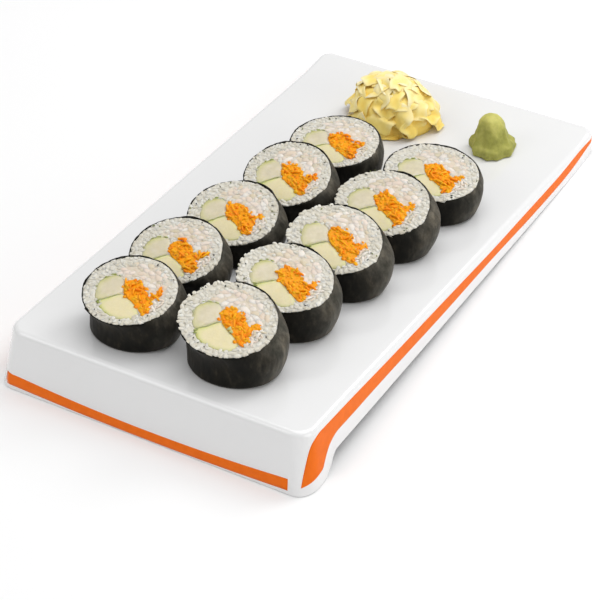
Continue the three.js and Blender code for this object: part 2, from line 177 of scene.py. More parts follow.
def lower_edge(v):
    """The lower edge of the walls: front foot, back of the leg, skirt, far foot, far curve."""
    leg_foot = table_line(LEG_LENGTH)
    leg = leg_foot + (-SKIRT_DEPTH - leg_foot) * smoothstep(LEG_LENGTH, SKIRT_START, v)
    along = np.clip((v - SKIRT_START) / (FAR_FOOT_START - SKIRT_START), 0, 1)
    skirt = -SKIRT_DEPTH + (table_line(FAR_FOOT_START) + SKIRT_DEPTH) * along
    past = np.maximum(0, v - FAR_FOOT_END)
    far = table_line(v) + FAR_EDGE_LIFT * past * past
    zones = [v <= LEG_LENGTH, v < SKIRT_START, v < FAR_FOOT_START]
    return np.select(zones, [table_line(v), leg, skirt], far)


CORNER_STEPS = 14
# Where the outline has points: closer together along the leg and the curl, where its height changes fast.
SIDE_STATIONS = np.concatenate([
    np.linspace(10, SKIRT_START, 15), np.linspace(30, 268, 35), np.linspace(CURL_START, PLATE_LENGTH - 8, 14),
])
FRONT_STATIONS = np.linspace(0, PLATE_HALF_WIDTH - FRONT_CORNER_RADIUS - 1, 12)


def half_outline(inset, front_radius):
    """The right half of the outline from the middle of the front edge to the far corner's end: x, v and
    the outward direction of each point."""
    rows = [(x, inset, 0, -1) for x in FRONT_STATIONS]

    def corner(full_radius, centre_v, start):
        radius = max(full_radius - inset, 1)
        centre_x = PLATE_HALF_WIDTH - inset - radius
        for angle in start + np.linspace(0, math.pi / 2, CORNER_STEPS + 1):
            c, s = math.cos(angle), math.sin(angle)
            rows.append((centre_x + radius * c, centre_v(inset + radius) + radius * s, c, s))

    corner(front_radius, lambda distance: distance, -math.pi / 2)
    rows.extend((PLATE_HALF_WIDTH - inset, v, 1, 0) for v in SIDE_STATIONS)
    corner(FAR_CORNER_RADIUS, lambda distance: PLATE_LENGTH - distance, 0)
    return np.array(rows)


def half_ring(inset, height, at_foot):
    """One ring's right half, where height(v) gives w. A foot ring has the full lean of the walls."""
    x, v, out_x, out_v = half_outline(inset, FRONT_FOOT_CORNER_RADIUS if at_foot else FRONT_CORNER_RADIUS).T
    if not at_foot:
        return np.column_stack([x, v, height(v)])
    depth = -height(v) / FRONT_DEPTH
    v = v + np.where(out_v < 0, FRONT_FLARE * depth * out_v, -FAR_TUCK * out_v)
    return np.column_stack([x + SIDE_FLARE * depth * out_x, v, height(v)])


def whole_ring(half):
    """A closed ring from its right half. The first point is on the plate's middle."""
    mirrored = half[:0:-1] * [-1, 1, 1]
    return np.vstack([half, mirrored])


WALL_TOP = half_ring(0, lambda v: top_height(v) - EDGE_RADIUS, False)
WALL_FOOT = half_ring(0, lower_edge, True)
WALL_REACH = np.concatenate([[0], np.cumsum(np.hypot(*np.diff(WALL_TOP[:, :2], axis=0).T))])
CENTRE_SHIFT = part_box("plate")[0].y * 1000 - turned(WALL_FOOT)[:, 1].min()


def wall_points(reach, w):
    """The points of the outer wall at distances along the outline from the middle of the front, and at
    heights. A negative distance is on the left."""
    top, foot = (
        np.stack([np.interp(np.abs(reach), WALL_REACH, line) for line in ring.T], axis=-1)
        for ring in (WALL_TOP, WALL_FOOT)
    )
    down = (top[..., 2] - w) / (top[..., 2] - foot[..., 2])
    points = top + (foot - top) * down[..., None]
    points[..., 0] *= np.where(reach < 0, -1, 1)
    return points


# ---- meshes ----

def add_object(name, data):
    item = bpy.data.objects.new(name, data)
    bpy.context.scene.collection.objects.link(item)
    return item


def make_piece(name, points, faces, look, slot, replaces=(), **attributes):
    """A mesh of the plate's frame as a piece that rides with the plate."""
    mesh = bpy.data.meshes.new(name)
    mesh.from_pydata(to_world(points).tolist(), [], [tuple(map(int, face)) for face in faces])
    mesh.polygons.foreach_set("use_smooth", [True] * len(mesh.polygons))
    for key, values in attributes.items():
        mesh.attributes.new(key, "FLOAT", "POINT").data.foreach_set("value", np.asarray(values, np.float32))
    mesh.materials.append(LOOKS[look])
    mesh.validate()
    piece = add_object(name, mesh)
    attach(piece, "root")
    if replaces:
        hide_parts(*replaces)


def full_turn(count):
    """Angles evenly round a circle."""
    return np.linspace(0, 2 * math.pi, count, endpoint=False)


def heading(angle):
    """The unit vector across the plate that points in a direction, or one for each of many."""
    return np.stack([np.cos(angle), np.sin(angle)], axis=-1)


def turn_between(angle, direction):
    """How far an angle is from a direction, from -pi to pi."""
    return (angle - direction + math.pi) % (2 * math.pi) - math.pi


def grid_faces(rows, columns, closed):
    """Quads between the rows of a grid, that face out where rows go up and columns run anticlockwise."""
    faces = []
    for r in range(rows - 1):
        for c in range(columns if closed else columns - 1):
            d = (c + 1) % columns
            faces.append((r * columns + c, r * columns + d, (r + 1) * columns + d, (r + 1) * columns + c))
    return faces


def spun(profile, columns):
    """A closed form from a row of (radius, height), whose first and last radius are 0."""
    rings = [(*(radius * way), z) for radius, z in profile[1:-1] for way in heading(full_turn(columns))]
    last = len(rings) + 1
    top = last - columns
    faces = [(0, 1 + (s + 1) % columns, 1 + s) for s in range(columns)]
    faces += [tuple(i + 1 for i in face) for face in grid_faces(len(profile) - 2, columns, True)]
    faces += [(top + s, top + (s + 1) % columns, last) for s in range(columns)]
    return np.array([(0, 0, profile[0][1]), *rings, (0, 0, profile[-1][1])]), faces


def unit_ball(segments, rings):
    polar = math.pi * (np.arange(rings + 1) / rings - 0.5)
    return spun(np.column_stack([np.cos(polar), np.sin(polar)]), segments)


def tube(path, width, height, sides, ends):
    """A closed bent stick along a path, with width and height from its middle and its ends drawn in."""
    path = np.asarray(path, float)
    along = np.gradient(path, axis=0)
    along /= np.linalg.norm(along, axis=1)[:, None]
    across = np.cross(along, [0, 0, 1.0])
    weak = np.linalg.norm(across, axis=1) < 0.2
    across[weak] = np.cross(along[weak], [0, 1.0, 0])
    across /= np.linalg.norm(across, axis=1)[:, None]
    up = np.cross(across, along)
    taper = np.ones((len(path), 1, 1))
    taper[[0, -1]] = ends
    cos, sin = heading(full_turn(sides) + math.pi / sides).T[:, :, None]
    ring = width * cos * across[:, None] - height * sin * up[:, None]
    points = (path[:, None] + taper * ring).reshape(-1, 3)
    faces = [face[::-1] for face in grid_faces(len(path), sides, True)]
    last = len(points) - 1
    faces += [tuple(range(sides)), tuple(range(last, last - sides, -1))]
    return points, faces


def joined(parts):
    """Many (points, faces) as one, with the number of each part for its points."""
    points, faces, owner, start = [], [], [], 0
    for number, (part_points, part_faces) in enumerate(parts):
        points.append(part_points)
        faces.extend(tuple(i + start for i in face) for face in part_faces)
        owner.append(np.full(len(part_points), number))
        start += len(part_points)
    return np.vstack(points), faces, np.concatenate(owner)


def catmull_rom(a, b, c, d, t):
    """The point at share t of the way from b to c, on a curve whose other corners there are a and d."""
    return 0.5 * (2 * b + (c - a) * t + (2 * a - 5 * b + 4 * c - d) * t**2 + (3 * b - a - 3 * c + d) * t**3)


def smooth_loop(corners, spacing):
    """A closed curve through the corners, with points about spacing apart."""
    corners = np.asarray(corners, float)
    points = []
    for i in range(len(corners)):
        a, b, c, d = (corners[(i + k) % len(corners)] for k in (-1, 0, 1, 2))
        steps = max(1, round(np.linalg.norm(c - b) / spacing))
        points.extend(catmull_rom(a, b, c, d, t) for t in np.arange(steps) / steps)
    return np.array(points)


def smooth_line(corners, count):
    """An open curve through the corners, with count points."""
    corners = np.asarray(corners, float)
    padded = np.vstack([2 * corners[0] - corners[1], corners, 2 * corners[-1] - corners[-2]])
    points = []
    for u in np.linspace(0, len(corners) - 1, count):
        i = min(int(u), len(corners) - 2)
        points.append(catmull_rom(*padded[i:i + 4], u - i))
    return np.array(points)


def inside(loop, points):
    """Which points lie inside a closed loop."""
    x, y = points.T
    result = np.zeros(len(x), bool)
    for (x0, y0), (x1, y1) in zip(loop, np.roll(loop, -1, axis=0)):
        crosses = (y0 > y) != (y1 > y)
        with np.errstate(divide="ignore", invalid="ignore"):
            result ^= crosses & (x < (x1 - x0) * (y - y0) / (y1 - y0) + x0)
    return result


def distance_to(loop, points):
    return np.linalg.norm(points[:, None] - loop[None], axis=2).min(axis=1)


SPREAD_TRIES = 6000


def spread_points(rng, gap, accept):
    """Random points over a roll's face at least gap apart, kept where accept(points) says so."""
    tries = rng.uniform(-ROLL_RADIUS, ROLL_RADIUS, (SPREAD_TRIES, 2))
    tries = tries[accept(tries)]
    kept = []
    for point in tries:
        if not kept or np.min(np.sum((np.array(kept) - point) ** 2, axis=1)) > gap * gap:
            kept.append(point)
    return np.array(kept).reshape(-1, 2)


def pull_within(points, limit):
    """Draws points in towards a roll's axis, so that none lies farther from it than the limit."""
    reach = np.hypot(points[:, 0], points[:, 1])
    points[:, :2] *= np.minimum(1, limit / np.maximum(reach, 0.1))[:, None]


def waves(rng, count, low, high):
    """A smooth random function of points, between about -1 and 1, with waves of low to high per mm."""
    directions = rng.normal(size=(count, 3))
    directions /= np.linalg.norm(directions, axis=1)[:, None]
    directions *= rng.uniform(low, high, (count, 1))
    phases = rng.uniform(0, 2 * math.pi, count)
    return lambda points: np.sin(points @ directions.T + phases).mean(axis=1) * 1.6


# ---- materials ----

# A Mix node's colour sockets, by number, because its sockets for numbers have the same names.
MIX_A, MIX_B, MIX_RESULT = 6, 7, 2
LOOKS = {}


class Look:
    """A new Principled material, put in LOOKS under its name, with a few node helpers."""

    def __init__(self, name, **settings):
        material = bpy.data.materials.new(name)
        material.use_nodes = True
        LOOKS[name] = material
        self.nodes = material.node_tree.nodes
        self.links = material.node_tree.links
        self.shader = self.nodes["Principled BSDF"]
        for key, value in settings.items():
            self.shader.inputs[key.replace("_", " ")].default_value = value
        self.place = self.nodes.new("ShaderNodeTexCoord").outputs["Object"]

    def node(self, kind, inputs=None, **properties):
        """The outputs of a new node, whose inputs are set to numbers or linked to other nodes' outputs."""
        node = self.nodes.new("ShaderNode" + kind)
        for key, value in properties.items():
            setattr(node, key, value)
        for key, value in (inputs or {}).items():
            if isinstance(value, (int, float, tuple)):
                node.inputs[key].default_value = value
            else:
                self.links.new(value, node.inputs[key])
        return node.outputs

    def noise(self, scale, detail=4.0, roughness=0.55, stretch=None):
        place = self.place
        if stretch:
            place = self.node("Mapping", {"Scale": stretch, "Vector": place})["Vector"]
        inputs = {"Scale": scale, "Detail": detail, "Roughness": roughness, "Vector": place}
        return self.node("TexNoise", inputs)["Fac"]

    def attribute(self, name):
        return self.node("Attribute", attribute_name=name)["Fac"]

    def math(self, operation, a, b):
        return self.node("Math", {0: a, 1: b}, operation=operation)[0]

    def ramp(self, value, stops):
        """Colours at places from 0 to 1 along value."""
        node = self.nodes.new("ShaderNodeValToRGB")
        elements = node.color_ramp.elements
        while len(elements) < len(stops):
            elements.new(0.5)
        for element, (at, colour) in zip(elements, stops):
            element.position = at
            element.color = (*colour, 1)
        self.links.new(value, node.inputs["Fac"])
        return node.outputs["Color"]

    def mix(self, share, a, b, blend="MIX"):
        inputs = {"Factor": share, MIX_A: a, MIX_B: b}
        return self.node("Mix", inputs, data_type="RGBA", blend_type=blend)[MIX_RESULT]

    def between(self, noise, low, high):
        """A colour from low to high, over the middle of a noise's range."""
        return self.ramp(noise, [(0.3, low), (0.7, high)])

    def shades(self, *stops):
        """Colours at places from 0 to 1 along the mesh's own shade."""
        return self.ramp(self.attribute("shade"), stops)

    def colour(self, socket):
        self.links.new(socket, self.shader.inputs["Base Color"])

    def mottled(self, base, noise, darkest):
        """A base colour that a noise darkens in blotches."""
        self.colour(self.mix(1.0, base, self.between(noise, darkest, (1, 1, 1)), "MULTIPLY"))

    def rough(self, value, low, high):
        result = self.node("MapRange", {"Value": value, "To Min": low, "To Max": high})["Result"]
        self.links.new(result, self.shader.inputs["Roughness"])

    def bump(self, height, depth_mm, strength):
        inputs = {"Height": height, "Distance": depth_mm / 1000, "Strength": strength}
        earlier = self.shader.inputs["Normal"].links
        if earlier:
            inputs["Normal"] = earlier[0].from_socket
        self.links.new(self.node("Bump", inputs)["Normal"], self.shader.inputs["Normal"])

    def finish(self, gloss, roughnesses, grain, depth_mm, strength):
        """Uneven gloss and a fine relief, each from a noise of that scale and detail."""
        self.rough(self.noise(*gloss), *roughnesses)
        self.bump(self.noise(*grain), depth_mm, strength)


def soft_look(name, weight, reach_mm, radius, roughness, specular):
    """A look that light shines a little way into."""
    return Look(
        name, Subsurface_Weight=weight, Subsurface_Scale=reach_mm / 1000, Subsurface_Radius=radius,
        Roughness=roughness, Specular_IOR_Level=specular,
    )


def porcelain_look():
    look = Look("porcelain", Roughness=0.12, Coat_Weight=0.7, Coat_Roughness=0.04)
    look.colour(look.between(look.noise(14, 3), (0.81, 0.81, 0.81), (0.825, 0.825, 0.825)))
    look.finish((60, 4), (0.1, 0.18), (90, 2), 0.03, 0.25)


def stripe_look():
    look = Look("stripe_glaze", Roughness=0.35, Specular_IOR_Level=0.12)
    look.colour(look.between(look.noise(220, 5), (0.83, 0.150, 0.006), (0.90, 0.172, 0.008)))
    look.finish((90, 3), (0.25, 0.38), (500, 2), 0.01, 0.3)


def nori_look():
    look = Look(
        "nori", Specular_IOR_Level=0.1, Sheen_Weight=0.06, Sheen_Roughness=0.4, Sheen_Tint=(1, 0.92, 0.8, 1),
    )
    streaks = look.noise(1.0, 6, 0.65, stretch=(260, 260, 110))
    patches = look.noise(1.0, 5, 0.6, stretch=(130, 130, 110))
    # The sheet's own dark colour, mixed towards a lighter one that is painted light on the side facing the
    # lamps.
    moist = look.ramp(streaks, [
        (0.3, (0.003, 0.003, 0.002)), (0.55, (0.010, 0.009, 0.007)), (0.75, (0.032, 0.028, 0.021)),
    ])
    dusty = look.ramp(streaks, [
        (0.3, (0.036, 0.033, 0.027)), (0.5, (0.070, 0.065, 0.056)), (0.7, (0.125, 0.116, 0.101)),
    ])
    base = look.mix(look.attribute("dusty"), moist, dusty)
    tint = look.ramp(patches, [(0.35, (0.6, 0.62, 0.55)), (0.5, (1.0, 0.98, 0.9)), (0.7, (1.6, 1.5, 1.3))])
    look.colour(look.mix(1.0, base, tint, "MULTIPLY"))
    look.rough(patches, 0.25, 0.75)
    look.bump(streaks, 0.2, 0.6)
    look.bump(look.noise(900, 3), 0.06, 0.5)


def rice_look():
    look = soft_look("rice", 0.6, 1.1, (1.0, 0.93, 0.82), 0.4, 0.35)
    grain = look.attribute("shade")
    pale = look.ramp(grain, [
        (0.0, (0.60, 0.56, 0.46)), (0.5, (0.70, 0.665, 0.58)), (1.0, (0.80, 0.78, 0.715)),
    ])
    strands = look.ramp(grain, [(0.0, (0.70, 0.61, 0.48)), (1.0, (0.79, 0.70, 0.58))])
    look.mottled(look.mix(look.attribute("tint"), pale, strands), look.noise(700, 3), (0.94, 0.93, 0.90))
    look.finish((500, 3), (0.28, 0.5), (1400, 3), 0.08, 0.4)


def carrot_look():
    look = soft_look("carrot", 0.5, 1.0, (1.0, 0.6, 0.25), 0.42, 0.2)
    base = look.shades(
        (0.0, (0.99, 0.27, 0.003)), (0.5, (1.0, 0.38, 0.005)), (1.0, (1.0, 0.47, 0.012)),
    )
    look.mottled(base, look.noise(900, 4), (0.93, 0.88, 0.8))
    look.finish((600, 3), (0.26, 0.45), (1600, 3), 0.08, 0.5)


def avocado_look():
    look = soft_look("avocado", 0.6, 2.5, (1.0, 0.9, 0.5), 0.38, 0.4)
    depth = look.math("ADD", look.attribute("depth"), look.math("MULTIPLY", look.noise(210, 5, 0.65), 0.6))
    flesh = look.ramp(depth, [
        (0.12, (0.40, 0.46, 0.10)), (0.34, (0.63, 0.65, 0.23)), (0.62, (0.73, 0.69, 0.37)),
        (1.0, (0.78, 0.70, 0.45)),
    ])
    look.mottled(flesh, look.noise(900, 3), (0.95, 0.95, 0.9))
    look.finish((400, 3), (0.3, 0.5), (500, 4), 0.15, 0.5)


def cucumber_look():
    look = soft_look("cucumber", 0.7, 3.0, (1.0, 0.9, 0.6), 0.3, 0.5)
    flesh = look.between(look.noise(330, 4), (0.63, 0.57, 0.40), (0.72, 0.65, 0.49))
    near_rind = look.math("MULTIPLY", look.attribute("rind"), look.math("ADD", look.noise(260, 4), 0.55))
    green = look.ramp(near_rind, [
        (0.0, (1, 1, 1)), (0.4, (0.95, 0.98, 0.78)), (0.8, (0.80, 0.86, 0.50)), (1.0, (0.62, 0.69, 0.32)),
    ])
    look.colour(look.mix(1.0, flesh, green, "MULTIPLY"))
    look.finish((300, 3), (0.24, 0.42), (600, 4), 0.12, 0.5)


def strand_look():
    look = soft_look("strands", 0.5, 0.7, (1.0, 0.9, 0.8), 0.4, 0.35)
    base = look.shades(
        (0.0, (0.68, 0.60, 0.44)), (0.45, (0.79, 0.66, 0.56)), (1.0, (0.86, 0.81, 0.74)),
    )
    look.mottled(base, look.noise(800, 3), (0.96, 0.94, 0.92))
    look.rough(look.noise(500, 3), 0.28, 0.46)
    look.bump(look.noise(1.0, 4, 0.6, stretch=(900, 300, 900)), 0.1, 0.5)


def rind_look():
    look = soft_look("rinds", 0.3, 1.0, (0.8, 1.0, 0.4), 0.35, 0.45)
    base = look.shades(
        (0.0, (0.16, 0.19, 0.04)), (0.5, (0.38, 0.42, 0.12)), (1.0, (0.66, 0.67, 0.38)),
    )
    look.mottled(base, look.noise(700, 3), (0.8, 0.85, 0.7))
    look.bump(look.noise(1200, 3), 0.05, 0.5)


def fleck_look():
    look = Look("flecks", Roughness=0.5)
    look.colour(look.shades(
        (0.0, (0.012, 0.013, 0.010)), (0.55, (0.035, 0.04, 0.02)), (0.75, (0.10, 0.13, 0.03)),
        (1.0, (0.24, 0.28, 0.07)),
    ))
    look.bump(look.noise(1500, 3), 0.05, 0.5)


def ginger_look():
    look = soft_look("ginger", 0.1, 0.5, (1.0, 0.98, 0.88), 0.42, 0.2)
    # The shade attribute gives each slice its own tone, with painted light on folds and rims and painted
    # shade low in the heap.
    base = look.shades(
        (0.0, (1.0, 0.66, 0.08)), (0.45, (1.0, 0.79, 0.24)), (1.0, (1.0, 0.90, 0.56)),
    )
    look.mottled(base, look.noise(1.0, 4, 0.6, stretch=(400, 140, 400)), (0.96, 0.93, 0.85))
    look.rough(look.noise(300, 3), 0.26, 0.46)
    look.bump(look.noise(1.0, 4, 0.6, stretch=(600, 200, 600)), 0.15, 0.4)


def wasabi_look():
    look = soft_look("wasabi", 0.3, 1.5, (0.9, 1.0, 0.3), 0.55, 0.3)
    # Painted light: the shade attribute makes the top of the mound lighter.
    paste = look.math("ADD", look.noise(200, 5), look.math("MULTIPLY", look.attribute("shade"), 0.3))
    look.colour(look.ramp(paste, [
        (0.3, (0.27, 0.27, 0.05)), (0.55, (0.39, 0.38, 0.085)), (0.85, (0.58, 0.545, 0.15)),
    ]))
    look.rough(look.noise(400, 3), 0.46, 0.7)
    look.bump(look.noise(300, 4), 0.6, 0.6)
    look.bump(look.noise(1500, 4), 0.15, 0.6)


def table_look():
    look = Look("table", Roughness=0.6, Specular_IOR_Level=0.2)
    look.colour(look.between(look.noise(3, 2), (0.915, 0.915, 0.915), (0.925, 0.925, 0.925)))


for add_look in (
    porcelain_look, stripe_look, nori_look, rice_look, carrot_look, avocado_look, cucumber_look,
    strand_look, rind_look, fleck_look, ginger_look, wasabi_look, table_look,
):
    add_look()


# ---- the plate ----

EDGE_STEPS = 9


def make_plate():
    def bevel_ring(share):
        """A ring on the rounded outer edge of the foot, a share of the way round it."""
        angle = share * math.pi / 2
        inset = FOOT_BEVEL * (1 - math.sin(angle))
        lift = FOOT_BEVEL * (1 - math.cos(angle))
        return half_ring(inset, lambda v: lower_edge(v) + lift, True)

    halves = [
        half_ring(WALL + CEILING_FILLET, lambda v: top_height(v) - WALL, False),
        half_ring(WALL, lambda v: top_height(v) - WALL - CEILING_FILLET, False),
        half_ring(WALL, lower_edge, True),
    ]
    halves += [bevel_ring(share) for share in (0, 0.33, 0.66, 1)]
    halves += [0.5 * (halves[-1] + WALL_TOP)]
    for angle in np.linspace(0, math.pi / 2, EDGE_STEPS):
        drop = EDGE_RADIUS * (1 - math.sin(angle))
        halves.append(half_ring(EDGE_RADIUS * (1 - math.cos(angle)), lambda v: top_height(v) - drop, False))
    rings = [whole_ring(half) for half in halves]
    count = len(rings[0])
    faces = grid_faces(len(rings), count, True)
    last = (len(rings) - 1) * count
    first = len(FRONT_STATIONS) + 1
    front = [i % count for i in range(-first, first + 1)]
    faces += [tuple(front[::-1]), tuple(last + i for i in front)]
    for i in range(first, count // 2):
        j = count - i
        faces += [(i, j, j - 1, i + 1), (last + i, last + i + 1, last + j - 1, last + j)]
    make_piece("plate_body", np.vstack(rings), faces, "porcelain", "porcelain", ["plate"])


STRIPE_PROUD = 0.1
STRIPE_SUNK = 0.2
# The stripes are laid out as (distance along the outline from the middle of the front, height).
CORNER_START = 76.0
FRONT_STRIPE_ENDS = (-81.0, 76.1)
FRONT_STRIPE_EDGES = ((-30.9, 1.5), (-26.3, 2.7))  # height in the middle, and rise up to the corner
# The side stripe's edges, from the leg's foot to the far corner.
SIDE_STRIPE_UPPER = [
    (81.2, -27), (82.2, -21.8), (83.6, -15.8), (85.4, -9.7), (87.8, -5.8), (92, -4.0), (100, -3.8),
    (125, -3.9), (160, -4.4), (210, -4.6), (262, -4.9), (300, -4.3), (335, -3.7), (352, -2.7),
    (368, -1.6), (385, -0.9),
]
SIDE_STRIPE_LOWER = [
    (91, -23.7), (93.8, -20.2), (97.2, -16.6), (100.3, -14.3), (105.6, -12.3), (112.5, -11.9),
    (122, -11.8), (140, -11.3), (165, -10.9), (210, -10.5), (262, -9.2), (304, -9.0), (337, -8.2),
    (357, -6.7), (372, -4.3), (387, -1.3),
]
LEFT_STRIPE_LATER = 7.0  # how much farther round the corner the left stripe begins
LEFT_STRIPE_ALIKE = 130.0  # from here on it is as the right one


def wall_strip(name, lower, upper, rows):
    """A thin glazed strip that follows the wall between two edges, each a row of (reach, height)."""
    count = len(lower)
    points = wall_points(*np.moveaxis(np.linspace(lower, upper, rows), -1, 0))
    out = np.cross(np.gradient(points, axis=1), np.gradient(points, axis=0))
    out /= np.linalg.norm(out, axis=2)[:, :, None]
    skin = (points + out * STRIPE_PROUD).reshape(-1, 3)
    back = (points - out * STRIPE_SUNK).reshape(-1, 3)
    faces = grid_faces(rows, count, False)
    total = rows * count
    faces += [tuple(i + total for i in face[::-1]) for face in faces]
    rim = list(range(count)) + [r * count + count - 1 for r in range(1, rows)]
    rim += list(range(total - 2, total - count - 1, -1)) + [r * count for r in range(rows - 2, 0, -1)]
    faces += [(b, a, a + total, b + total) for a, b in zip(rim, rim[1:] + rim[:1])]
    make_piece(name, np.vstack([skin, back]), faces, "stripe_glaze", "porcelain")


def make_stripes():
    reach = np.linspace(*FRONT_STRIPE_ENDS, 90)
    bend = (reach / CORNER_START) ** 2
    edges = [np.column_stack([reach, w + rise * bend]) for w, rise in FRONT_STRIPE_EDGES]
    wall_strip("front_stripe", *edges, 5)
    lower, upper = smooth_line(SIDE_STRIPE_LOWER, 220), smooth_line(SIDE_STRIPE_UPPER, 220)
    wall_strip("right_stripe", lower, upper, 16)
    for edge in (lower, upper):
        edge[:, 0] += LEFT_STRIPE_LATER * (1 - smoothstep(CORNER_START, LEFT_STRIPE_ALIKE, edge[:, 0]))
    wall_strip("left_stripe", (lower * [-1, 1])[::-1], (upper * [-1, 1])[::-1], 16)


# ---- the rolls ----

def place(piece, points):
    """From the round upright roll to the pressed, slanted, barrel-shaped piece on the plate."""
    x, y, z = points.T
    t = np.clip(z / ROLL_HEIGHT, 0, 1)
    proud = np.maximum(z - ROLL_HEIGHT, 0)
    from_fullest = np.where(t < SWELL_LEVEL, 1 - t / SWELL_LEVEL, (t - SWELL_LEVEL) / (1 - SWELL_LEVEL))
    slanted = piece.rise * np.cos(from_fullest * math.pi / 2)
    spread = BASE_SCALE + (1 - BASE_SCALE) * t
    px = x / ROLL_RADIUS * piece.half[0]
    pv = y / ROLL_RADIUS * piece.half[1]
    middle_x = piece.x + piece.lean[0] * t + BOW_PER_RISE * slanted
    middle_v = piece.v + piece.lean[1] * t + BACK_BOW_PER_RISE * slanted
    return np.column_stack([
        middle_x + px * (spread + SWELL_PER_RISE * slanted),
        middle_v + pv * (spread - SQUEEZE_PER_RISE * slanted),
        GAP + t * (piece.height + piece.rise * pv + piece.cant * px) + proud,
    ])


# Where rice swells over the nori's rim: on the left, as far as each piece says, and nearest the front.
SPILL_DIRECTION = math.radians(168)
NEAR_DIRECTION = math.radians(300)
NEAR_SPILL = 0.55


def spill_at(piece, angle):
    """How far rice swells over the nori's rim in a direction, from 0 to 1."""
    left = piece.spill * (1 - smoothstep(0.7, 1.2, np.abs(turn_between(angle, SPILL_DIRECTION))))
    near = NEAR_SPILL * (1 - smoothstep(0.8, 1.5, np.abs(turn_between(angle, NEAR_DIRECTION))))
    return np.maximum(left, near)


NORI_COLUMNS = 240
NORI_ROWS = 19
DUSTY_DIRECTION = math.radians(14)  # the side of each roll facing this way has its nori painted lighter: painted light, as if lit from there
SEAM_LENGTH = 0.9  # how far round, in radians, the sheet's end thins out from its seam
SEAM_STEP = 0.45
ANY_PHASE = 6.3
RIM_WAVES = ((2, 0.16), (5, 0.12), (13, 0.10), (31, 0.06))  # waves round the rim, and their height
CREASES = 26
# Each crease's place round the roll, width, depth and level, as ranges.
CREASE_RANGES = ((0, ANY_PHASE), (0.04, 0.12), (-0.25, 0.2), (0.2, 1))


def make_nori(name, piece, rng):
    angle = full_turn(NORI_COLUMNS)

    def ripple(counts, low, high):
        """Waves round the roll, as many as each count says and each of a random size."""
        return sum(rng.uniform(low, high) * np.sin(k * angle + rng.uniform(0, ANY_PHASE)) for k in counts)

    uneven = ripple((3, 5, 7, 9), 0.03, 0.09) + ripple((19, 27, 38, 51, 73), 0.01, 0.035)
    past_seam = (angle - math.radians(piece.seam)) % (2 * math.pi)
    flap = SEAM_STEP * np.where(past_seam < SEAM_LENGTH, 1 - past_seam / SEAM_LENGTH, 0) * (past_seam > 0.001)
    rim = sum(size * np.sin(k * angle + rng.uniform(0, ANY_PHASE)) for k, size in RIM_WAVES)
    rim -= 0.1 + 0.9 * spill_at(piece, angle)
    creases = [[rng.uniform(*span) for span in CREASE_RANGES] for _ in range(CREASES)]
    circle = heading(angle)
    outer, inner = [], []
    for t in np.arange(NORI_ROWS) / (NORI_ROWS - 1):
        sway = 0.08 * np.sin(2 * math.pi * t + 3 * angle) * math.sin(math.pi * t)
        fold = np.zeros(NORI_COLUMNS)
        for at, width, depth, level in creases:
            off = turn_between(angle, at + 0.1 * t)
            fold += depth * np.exp(-((off / width) ** 2) - ((t - level) / 0.3) ** 2)
        radius = ROLL_RADIUS - 0.12 - 0.7 * max(0, 1 - t / 0.07) ** 2
        radius = radius + flap * min(1, 3 * t) + (fold + sway + uneven) * min(1, 0.25 + 1.5 * t)
        height = t * (ROLL_HEIGHT + rim)
        outer.append(np.column_stack([radius[:, None] * circle, height]))
        inner.append(np.column_stack([(radius - NORI_THICKNESS)[:, None] * circle, height]))
    loops = outer + inner[::-1]
    total = len(loops) * NORI_COLUMNS
    faces = [tuple(i % total for i in face) for face in grid_faces(len(loops) + 1, NORI_COLUMNS, True)]
    # Painted light: how far each point takes the lighter colour, most on the side facing the lamps.
    dusty = np.tile(1 - smoothstep(0.25, 1.15, np.abs(turn_between(angle, DUSTY_DIRECTION))), len(loops))
    points = place(piece, np.vstack(loops))
    make_piece(f"{name}_nori_sheet", points, faces, "nori", "nori", [f"{name}_nori"], dusty=dusty)


LATTICE = 1.15
LATTICE_ROW = 0.866  # between rows, as a share of the distance within a row
RICE_RADIUS = ROLL_RADIUS - NORI_THICKNESS - 0.35


def cut_plan(rng, outlines):
    """The roll's cut face in triangles: its points, its triangles and which filling each lies in."""
    loops = [RICE_RADIUS * heading(full_turn(100)), *outlines.values()]
    reach = int(ROLL_RADIUS / LATTICE) + 1
    row, column = np.mgrid[-reach - 3:reach + 4, -reach:reach + 1].reshape(2, -1)
    lattice = np.column_stack([column + 0.5 * (row % 2), row * LATTICE_ROW])
    lattice = (lattice + rng.uniform(-0.2, 0.2, lattice.shape)) * LATTICE
    lattice = lattice[np.hypot(*lattice.T) < RICE_RADIUS - 0.7]
    lattice = lattice[np.min([distance_to(loop, lattice) for loop in loops], axis=0) > 0.5]
    coords, edges = [], []
    for loop in loops:
        start = len(coords)
        coords += [Vector(point) for point in loop]
        edges += [(start + i, start + (i + 1) % len(loop)) for i in range(len(loop))]
    coords += [Vector(point) for point in lattice]
    verts, _, triangles, *_ = delaunay_2d_cdt(coords, edges, [], 0, 1e-5)
    plan = np.array(verts)
    triangles = np.array(triangles)
    middle = plan[triangles].mean(axis=1)
    part = np.full(len(triangles), "rice", dtype=object)
    for key in reversed(list(outlines)):
        part[inside(outlines[key], middle)] = key
    part[np.hypot(*middle.T) > RICE_RADIUS] = "none"
    return plan, triangles, part


WALL_LEVELS = (0.7, 0.35)  # heights at which a solid's wall has points too, as shares of the top's


